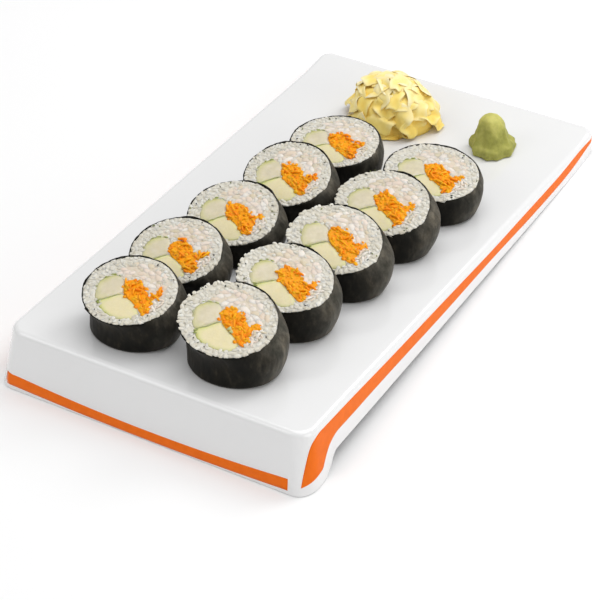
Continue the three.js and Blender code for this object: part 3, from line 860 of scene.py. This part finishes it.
def upright_solid(plan, triangles, top):
    """A closed solid that stands on z = 0 below the given triangles, whose points have heights top, and
    which point of the plan each of its own lies over."""
    used, index = np.unique(triangles, return_inverse=True)
    faces = index.reshape(-1, 3)
    count = len(used)
    directed = {(int(f[i]), int(f[(i + 1) % 3])) for f in faces for i in range(3)}
    border = sorted((a, b) for a, b in directed if (b, a) not in directed)
    rim = sorted({a for a, _ in border})
    order = {a: i for i, a in enumerate(rim)}
    sources = np.concatenate([used, *[used[rim]] * len(WALL_LEVELS), used])
    levels = np.repeat([1, *WALL_LEVELS, 0], [count, *[len(rim)] * len(WALL_LEVELS), count])
    points = np.column_stack([plan[sources], top[sources] * levels])
    starts = [count + k * len(rim) for k in range(len(WALL_LEVELS) + 1)]
    low = starts.pop()
    result = [tuple(face) for face in faces] + [tuple(int(i) + low for i in face[::-1]) for face in faces]
    for a, b in border:
        ladder = [(a, b), *((start + order[a], start + order[b]) for start in starts), (a + low, b + low)]
        for (a0, b0), (a1, b1) in zip(ladder, ladder[1:]):
            result.append((a1, b1, b0, a0))
    return points, result, sources


def tumbled(tip_x, tip_y, spin):
    """A turn about z, then one about y and one about x."""
    return Matrix.Rotation(tip_x, 3, "X") @ Matrix.Rotation(tip_y, 3, "Y") @ Matrix.Rotation(spin, 3, "Z")


def rotations(rng, count, tilt):
    """Random turns about z, each tipped by a random angle of about so many radians."""
    spins = rng.uniform(0, 2 * math.pi, count)
    return [np.array(tumbled(*tips, spin)) for spin, tips in zip(spins, rng.normal(0, tilt, (count, 2)))]


def bowed(middle, angle, length, aside, heights):
    """A path that is bowed aside by a share of its length, with heights at its ends and middle."""
    step = heading(angle) * length / 2
    side = np.array([-step[1], step[0]]) * aside
    spots = (middle - step, middle + side, middle + step)
    return [(*spot, height) for spot, height in zip(spots, heights)]


def scatter(name, piece, parts, shades, look, slot):
    """Many small parts as one piece, each with a shade of its own. Heights are over the round roll's cut."""
    points, faces, owner = joined(parts)
    points = place(piece, points + [0, 0, ROLL_HEIGHT])
    make_piece(name, points, faces, look, slot, shade=np.array(shades)[owner])


GRAIN_HALF = np.array([2.3, 1.1, 1.0])  # half a grain's length, width and thickness
GRAIN_GAP = 1.8


def make_grains(name, piece, rng, free):
    """Rice grains over the cut face, most of them cut flat by the knife, and over the nori's rim."""
    ball, ball_faces = unit_ball(12, 7)
    centres = spread_points(rng, GRAIN_GAP, free)
    count = len(centres)
    radius = np.hypot(*centres.T)
    spill = spill_at(piece, np.arctan2(centres[:, 1], centres[:, 0])) * smoothstep(20, 24, radius)
    centres = centres * (1 + 0.035 * spill)[:, None]
    heights = ROLL_HEIGHT - rng.uniform(0.65, 1.05, count) + 0.3 * spill
    cuts = ROLL_HEIGHT + rng.uniform(-0.25, 0.08, count) + 0.35 * spill
    parts = []
    for centre, height, cut, turn in zip(centres, heights, cuts, rotations(rng, count, 0.6)):
        size = GRAIN_HALF * rng.uniform(0.8, 1.12, 3)
        curve = ball.copy()
        curve[:, 1] += 0.2 * curve[:, 0] ** 2
        points = (curve * size) @ turn.T + [*centre, height]
        points[:, 2] = np.where(points[:, 2] > cut, cut + 0.15 * (points[:, 2] - cut), points[:, 2])
        over_rim = spill_at(piece, math.atan2(centre[1], centre[0]))
        pull_within(points, ROLL_RADIUS - NORI_THICKNESS - 0.4 + 1.2 * over_rim)
        parts.append((points, ball_faces))
    points, faces, owner = joined(parts)
    shade = rng.beta(2.5, 2, count)[owner]
    points = place(piece, points)
    make_piece(f"{name}_rice_grains", points, faces, "rice", "rice", shade=shade, tint=np.zeros(len(points)))


SHRED_GAP = 1.45
SHRED_WIDTHS = (0.75, 1.3)
LOOSE_SHREDS = 14


def make_shreds(name, piece, rng, loop):
    """Carrot cut in thin sticks: ends that stand up out of the cut, and loose ones that lie on it."""
    parts = []
    spots = spread_points(rng, SHRED_GAP, lambda p: inside(loop, p) & (distance_to(loop, p) > 0.35))
    for x, y in spots:
        lean = rng.normal(0, 0.2, 2)
        rise = rng.uniform(-0.05, 0.65)
        path = [(x, y, -4), (x + lean[0] * 2, y + lean[1] * 2, -2), (x + lean[0] * 4, y + lean[1] * 4, rise)]
        width = rng.uniform(*SHRED_WIDTHS)
        parts.append(tube(smooth_line(path, 5), width, width * rng.uniform(0.75, 1.1), 7, 0.8))
    for middle in spots[rng.permutation(len(spots))[:LOOSE_SHREDS]]:
        angle = rng.normal(-0.6, 0.8)
        length = rng.uniform(2.5, 6)
        aside = rng.normal(0, 0.9) / length
        height = rng.uniform(0.3, 0.9)
        path = bowed(middle, angle, length, aside, (height - 0.5, height + 0.25, height - 0.6))
        parts.append(tube(smooth_line(path, 8), rng.uniform(0.5, 0.75), rng.uniform(0.4, 0.6), 7, 0.75))
    scatter(f"{name}_carrot_shreds", piece, parts, rng.uniform(0, 1, len(parts)), "carrot", "carrot")


STRAND_REACH = 23.6
STRAND_BOWS = (0.02, 0.22)
# The broad strands and the thin bits: where they lie, how far apart, their widths, lengths and heights
# over the cut as ranges, and how much their directions stray.
STRANDS = [
    (STRAND_PATCH, 2.4, (1.2, 2.6), (4.5, 10), (-0.15, 0.2), 0.5),
    (SIDE_STRAND_PATCH, 1.5, (0.4, 0.7), (2.5, 5), (0.2, 0.6), 0.7),
]


def make_strands(name, piece, rng, taken):
    """Pale pulled strands: broad soft ones that curl round above the carrot, and thin bits beside it."""
    parts = []
    for corners, gap, widths, lengths, lift, stray in STRANDS:
        patch = smooth_loop(np.array(corners) * ROLL_RADIUS, 1.5)
        for middle in spread_points(rng, gap, lambda p: inside(patch, p) & ~taken(p)):
            angle = math.atan2(middle[1] + 4, middle[0]) + math.pi / 2 + rng.normal(0, stray)
            length, aside, width = rng.uniform(*lengths), rng.uniform(*STRAND_BOWS), rng.uniform(*widths)
            height = rng.uniform(*lift) - 0.35 * width
            path = bowed(middle, angle, length, -aside, (height - 0.5, height, height - 0.5))
            points, faces = tube(smooth_line(path, 10), width, 0.35 * width, 12, 0.4)
            pull_within(points, STRAND_REACH)
            parts.append((points, faces))
    scatter(f"{name}_strands", piece, parts, rng.uniform(0, 1, len(parts)), "strands", "rice")


FLECKS = 11
FLECK_RING = (20.4, 24.0)


def make_flecks(name, piece, rng):
    """Bits of nori and green that lie in the rice near the rim."""
    ball, ball_faces = unit_ball(8, 5)
    parts = []
    for turn in rotations(rng, FLECKS, 0.3):
        angle = rng.uniform(0, 2 * math.pi)
        spot = rng.uniform(*FLECK_RING) * heading(angle)
        size = [rng.uniform(0.4, 0.9), rng.uniform(0.25, 0.42), 0.2]
        parts.append(((ball * size) @ turn.T + [*spot, rng.uniform(0.15, 0.4)], ball_faces))
    scatter(f"{name}_flecks", piece, parts, rng.uniform(0, 1, FLECKS), "flecks", "nori")


GREENEST_DIRECTION = 140.0  # in degrees
# Stretches of skin along the cucumber's outer side: from and to which share of it, and how wide.
RIND_ARCS = ((0.02, 0.11, 0.36), (0.12, 0.22, 0.42), (0.24, 0.33, 0.26), (0.44, 0.54, 0.14))
TIP_BITS = 3
LIME_SHADE = 0.9


def green_side(points):
    """How green the cucumber's skin is in each point's direction: 1 at its upper left."""
    off = np.degrees(np.arctan2(points[:, 1], points[:, 0])) % 360 - GREENEST_DIRECTION
    return 1 - smoothstep(15, 60, np.abs(off))


def make_rinds(name, piece, rng, outlines):
    """Thin green skins: round the cucumber's outer side, and where avocado and cucumber meet."""
    parts = []
    cucumber = outlines["cucumber"]
    outer = cucumber[np.hypot(*cucumber.T) > 0.42 * ROLL_RADIUS]
    start = np.argmax(np.linalg.norm(np.diff(outer, axis=0, append=outer[:1]), axis=1)) + 1
    outer = np.roll(outer, -start, axis=0)
    for low, high, width in RIND_ARCS:
        first, end = (int((share + rng.uniform(-0.015, 0.015)) * len(outer)) for share in (low, high))
        stretch = outer[max(first, 0):end]
        height = rng.uniform(-0.2, -0.05, len(stretch))
        parts.append(tube(np.column_stack([stretch, height]), width * rng.uniform(0.7, 1.2), 0.25, 6, 0.3))
    avocado = outlines["avocado"]
    meeting = avocado[(distance_to(cucumber, avocado) < 1.6) & (avocado[:, 0] < -3)]
    meeting = meeting[np.argsort(meeting[:, 0])]
    parts.append(tube(np.insert(meeting, 2, -0.12, axis=1), 0.1, 0.2, 6, 0.4))
    tip = meeting[0]
    for _ in range(TIP_BITS):
        x, y = tip + rng.normal(0, 0.8, 2)
        path = [(x, y, 0), (x + 0.9, y + 0.3, 0.1), (x + 1.7, y + 0.9, 0)]
        parts.append(tube(path, 0.5, 0.3, 6, 0.4))
    shades = [*rng.uniform(0.45, 0.85, len(RIND_ARCS)), 1.0, *rng.uniform(0.1, 0.6, TIP_BITS)]
    for (x, y), width in LIME_BITS.get(name, ()):
        path = [(x, y, 0.1), (x + 1, y + 0.4, 0.7), (x + 2, y, 0.2)]
        parts.append(tube(path, width, 0.6, 8, 0.5))
        shades.append(LIME_SHADE)
    scatter(f"{name}_rinds", piece, parts, shades, "rinds", "cucumber")


def make_roll(name, piece, rng):
    outlines = {}
    for key, corners in FILLINGS.items():
        jitter = rng.uniform(-0.35, 0.35, (len(corners), 2))
        outlines[key] = smooth_loop(np.array(corners) * ROLL_RADIUS + jitter, 0.8)
    make_nori(name, piece, rng)
    plan, triangles, part = cut_plan(rng, outlines)
    lumps = waves(rng, 9, 0.35, 1.1)(np.column_stack([plan, np.zeros(len(plan))]))
    edge = np.min([distance_to(loop, plan) for loop in outlines.values()], axis=0)
    rounded = smoothstep(0, 1.0, edge)
    bumps = rng.uniform(0, 1, len(plan))
    patch = smooth_loop(np.array(STRAND_PATCH) * ROLL_RADIUS, 1.5)
    tint = np.where(inside(patch, plan), 1, 1 - smoothstep(0, 2.5, distance_to(patch, plan)))
    reliefs = {
        "rice": -0.42 + 0.3 * bumps + tint * (0.12 - 0.2 * bumps + 0.12 * lumps),
        "carrot": -0.15 + 0.4 * bumps * rounded,
        "avocado": -0.45 + 0.4 * rounded + 0.12 * lumps,
        "cucumber": -0.4 + 0.4 * rounded + 0.10 * lumps,
    }
    for key, relief in reliefs.items():
        points, faces, sources = upright_solid(plan, triangles[part == key], ROLL_HEIGHT + relief)
        attributes = {"shade": 0.25 + 0.5 * bumps[sources], "tint": tint[sources]}
        own_edge = distance_to(outlines.get(key, outlines["carrot"]), plan)
        if key == "avocado":
            tip = smoothstep(2, 13, -plan[:, 0] - 0.2 * plan[:, 1])
            attributes["depth"] = np.clip(own_edge / 5 + 0.2 - 0.35 * tip, 0, 1)[sources]
        if key == "cucumber":
            outside = smoothstep(9, 16, np.hypot(*plan.T)) * (0.4 + 0.6 * green_side(plan))
            attributes["rind"] = ((1 - smoothstep(0.5, 5.0, own_edge)) * outside)[sources]
        points = place(piece, points)
        make_piece(f"{name}_{key}_body", points, faces, key, key, [f"{name}_{key}"], **attributes)

    def in_filling(points):
        near = [distance_to(loop, points) for loop in outlines.values()]
        within = [inside(loop, points) & (gap > 0.25) for loop, gap in zip(outlines.values(), near)]
        return np.any(within, axis=0) | (np.sum(np.array(near) < 1.7, axis=0) > 1)

    def free_for_rice(points):
        within = np.hypot(*points.T) < ROLL_RADIUS - NORI_THICKNESS - 0.6
        in_patch = inside(patch, points) & (distance_to(patch, points) > 0.8)
        return within & ~in_filling(points) & (~in_patch | (rng.uniform(0, 1, len(points)) < 0.01))

    make_grains(name, piece, rng, free_for_rice)
    make_shreds(name, piece, rng, outlines["carrot"])
    make_strands(name, piece, rng, in_filling)
    make_rinds(name, piece, rng, outlines)
    make_flecks(name, piece, rng)


# ---- ginger and wasabi ----

GOLDEN_ANGLE = math.pi * (3 - math.sqrt(5))
SLICES = 46
SLICE_RINGS = 8
SLICE_SPOKES = 36
SLICE_HALF_LENGTHS = (8, 12)
SLICE_HALF_WIDTHS = (5.5, 8.5)


def dome(x, y):
    """The ginger heap's height over the plate, as a share of its full height."""
    return np.maximum(0, 1 - x * x - y * y) ** 0.5


def ginger_slice(rng, half_length, half_width):
    """A thin crumpled slice that lies about the origin, as a closed sheet that thins towards its rim, and
    how much painted light each point gets: the folds that stand up and the rim are painted lighter."""
    bend, ruffle = rng.uniform(-0.04, 0.02), rng.uniform(0.8, 1.7)
    waves_round = rng.integers(3, 6)
    phases = rng.uniform(0, 2 * math.pi, 5)
    crease = rng.uniform(0.7, 1.5)
    angle = np.append(0, np.tile(full_turn(SLICE_SPOKES), SLICE_RINGS))
    reach = np.append(0, np.repeat(np.arange(1, SLICE_RINGS + 1), SLICE_SPOKES)) / SLICE_RINGS
    reach = reach * (1 + 0.13 * np.sin(2 * angle + phases[0]) + 0.08 * np.sin(5 * angle + phases[1]))
    x, y = half_length * reach * np.cos(angle), half_width * reach * np.sin(angle)
    height = crease * np.sin(0.42 * y + 0.10 * x + phases[2]) + bend * x * x
    height += ruffle * reach**2 * np.sin(waves_round * angle + phases[3]) + 0.25 * np.sin(1.1 * x + phases[4])
    top = np.column_stack([x, y, height])
    faces = [(0, 1 + s, 1 + (s + 1) % SLICE_SPOKES) for s in range(SLICE_SPOKES)]
    faces += [tuple(i + 1 for i in face[::-1]) for face in grid_faces(SLICE_RINGS, SLICE_SPOKES, True)]
    count = len(top)
    faces += [tuple(i + count for i in face[::-1]) for face in faces]
    rim = [count - SLICE_SPOKES + s for s in range(SLICE_SPOKES)]
    faces += [(a, a + count, b + count, b) for a, b in zip(rim, rim[1:] + rim[:1])]
    towards_rim = np.minimum(reach, 1)
    under = top.copy()
    under[:, 2] -= rng.uniform(1.0, 1.4) * (1 - 0.8 * towards_rim**3)
    return np.vstack([top, under]), faces, np.tile(0.08 * height + 0.35 * smoothstep(0.5, 1, towards_rim), 2)


HEAP_REACH = 0.94  # share of the heap's half sizes past which its slices are pressed in


def make_ginger():
    rng = np.random.default_rng(5)
    middle = [GINGER["x"], GINGER["v"], GAP]
    size = np.array([*GINGER["half"], GINGER["height"]])
    lumps = waves(rng, 6, 2.0, 4.5)
    ball, faces = unit_ball(40, 24)
    core = ball * (0.8 + 0.05 * lumps(ball))[:, None] * size + middle
    core[:, 2] = np.maximum(core[:, 2], top_height(core[:, 1]) + GAP)
    shade = np.full(len(core), 0.25)
    make_piece("ginger_core", core, faces, "ginger", "ginger", ["pickled_ginger"], shade=shade)
    parts, shades = [], []
    for i in range(SLICES):
        spot = 1.02 * ((i + 0.4) / SLICES) ** 0.45 * heading(i * GOLDEN_ANGLE)
        half_length, half_width = rng.uniform(*SLICE_HALF_LENGTHS), rng.uniform(*SLICE_HALF_WIDTHS)
        points, faces, paler = ginger_slice(rng, half_length, half_width)
        slope = Vector((*spot, 0.9)).normalized()
        upright = Vector((0, 0, 1)).rotation_difference(slope).to_matrix()
        spin = tumbled(rng.normal(0, 0.24), rng.normal(0, 0.24), rng.uniform(0, 2 * math.pi))
        turn = np.array(upright @ spin)
        parts.append((points @ turn.T + size * [*(0.88 * spot), 0.92 * dome(*spot)], faces))
        # Each slice's shade: its own random tone, plus painted light on its standing folds and rim.
        shades.append(rng.uniform(0.3, 0.7) + paler)
    points, faces, _ = joined(parts)
    points[:, 2] = np.maximum(points[:, 2], -4)
    reach = np.linalg.norm(points / size, axis=1)
    pressed = np.where(reach > HEAP_REACH, HEAP_REACH + 0.35 * (reach - HEAP_REACH), reach)
    points *= (pressed / reach)[:, None]
    high = smoothstep(0, 16, points[:, 2])
    points += middle
    floor = top_height(points[:, 1]) + GAP
    over = points[:, 2] - floor
    points[:, 2] = floor + np.where(over < 1.5, 1.5 * np.exp((over - 1.5) / 4), over)
    # Painted shade: slices are painted darker the lower they lie in the heap.
    shade = np.clip(np.concatenate(shades) * (0.55 + 0.45 * high), 0, 1)
    make_piece("ginger_slices", points, faces, "ginger", "ginger", shade=shade)


WASABI_ROWS = 44
WASABI_COLUMNS = 72


def make_wasabi():
    rng = np.random.default_rng(8)
    curve = smooth_line([(0, 0), *WASABI["profile"]], WASABI_ROWS)
    curve[:, 0] = np.maximum(curve[:, 0], 0)
    points, faces = spun(curve, WASABI_COLUMNS)
    points *= [WASABI["radius"], WASABI["radius"], WASABI["height"]]
    lumps = waves(rng, 6, 0.25, 0.5)(points)
    fine = waves(rng, 14, 0.9, 2.6)(points)
    ridges = 1 - np.abs(waves(rng, 5, 0.3, 0.6)(points))
    swell = 1 + 0.06 * lumps + 0.03 * fine + 0.18 * (ridges - 0.6)
    points[:, :2] *= swell[:, None]
    rise = points[:, 2] / WASABI["height"]
    points[:, 0] -= WASABI["lean"] * rise
    points[:, 2] = np.maximum(0, points[:, 2] + 0.25 * fine * np.minimum(1, rise * 4))
    points += [WASABI["x"], WASABI["v"], GAP]
    # Painted light: the top of the mound gets a lighter shade.
    make_piece("wasabi_mound", points, faces, "wasabi", "wasabi", ["wasabi"], shade=smoothstep(0.6, 1, rise))


# ---- stage, light and camera ----

TABLE_HALF = 6.0  # in metres


def make_stage():
    mesh = bpy.data.meshes.new("table_top")
    corners = [(TABLE_HALF * x, TABLE_HALF * y, 0) for x, y in ((-1, -1), (1, -1), (1, 1), (-1, 1))]
    mesh.from_pydata(corners, [], [(0, 1, 2, 3)])
    mesh.materials.append(LOOKS["table"])
    add_object("table_top", mesh)


def area_light(name, place, target, size, power):
    data = bpy.data.lights.new(name, "AREA")
    data.shape = "DISK"
    data.size = size
    data.energy = power
    light = add_object(name, data)
    light.location = place
    light.rotation_mode = "QUATERNION"
    light.rotation_quaternion = (Vector(target) - Vector(place)).to_track_quat("-Z", "Y")


def make_lights():
    world = bpy.data.worlds.new("studio")
    world.use_nodes = True
    background = world.node_tree.nodes["Background"]
    background.inputs["Color"].default_value = (1, 1, 1, 1)
    background.inputs["Strength"].default_value = 0.47
    bpy.context.scene.world = world
    middle = (0, 0, 0.03)
    area_light("overhead", (0.1, 0.25, 1.5), middle, 1.6, 11.5)
    area_light("key", (0.55, 0.9, 1.0), middle, 0.6, 5.5)
    area_light("front", (-0.62, -0.9, 0.92), middle, 0.75, 2.2)
    area_light("right", (1.2, -0.3, 0.42), middle, 0.9, 3.2)


def make_camera():
    azimuth, elevation, roll = (math.radians(a) for a in (CAMERA_AZIMUTH, CAMERA_ELEVATION, CAMERA_ROLL))
    turn = Matrix.Rotation(-SLOPE, 4, "X") @ Matrix.Rotation(azimuth, 4, "Z")
    turn @= Matrix.Rotation(math.pi / 2 - elevation, 4, "X") @ Matrix.Rotation(roll, 4, "Z")
    data = bpy.data.cameras.new("camera")
    data.sensor_width = SENSOR
    data.lens = CAMERA_LENS
    camera = add_object("camera", data)
    camera.matrix_world = Matrix.Translation(to_world(CAMERA_PLACE)[0]) @ turn
    bpy.context.scene.camera = camera


bpy.context.scene.view_settings.view_transform = "Standard"
make_camera()
make_stage()
make_lights()
make_plate()
make_stripes()
for number, (roll_name, roll) in enumerate(ROLLS.items()):
    make_roll(roll_name, roll, np.random.default_rng(101 + number))
make_ginger()
make_wasabi()
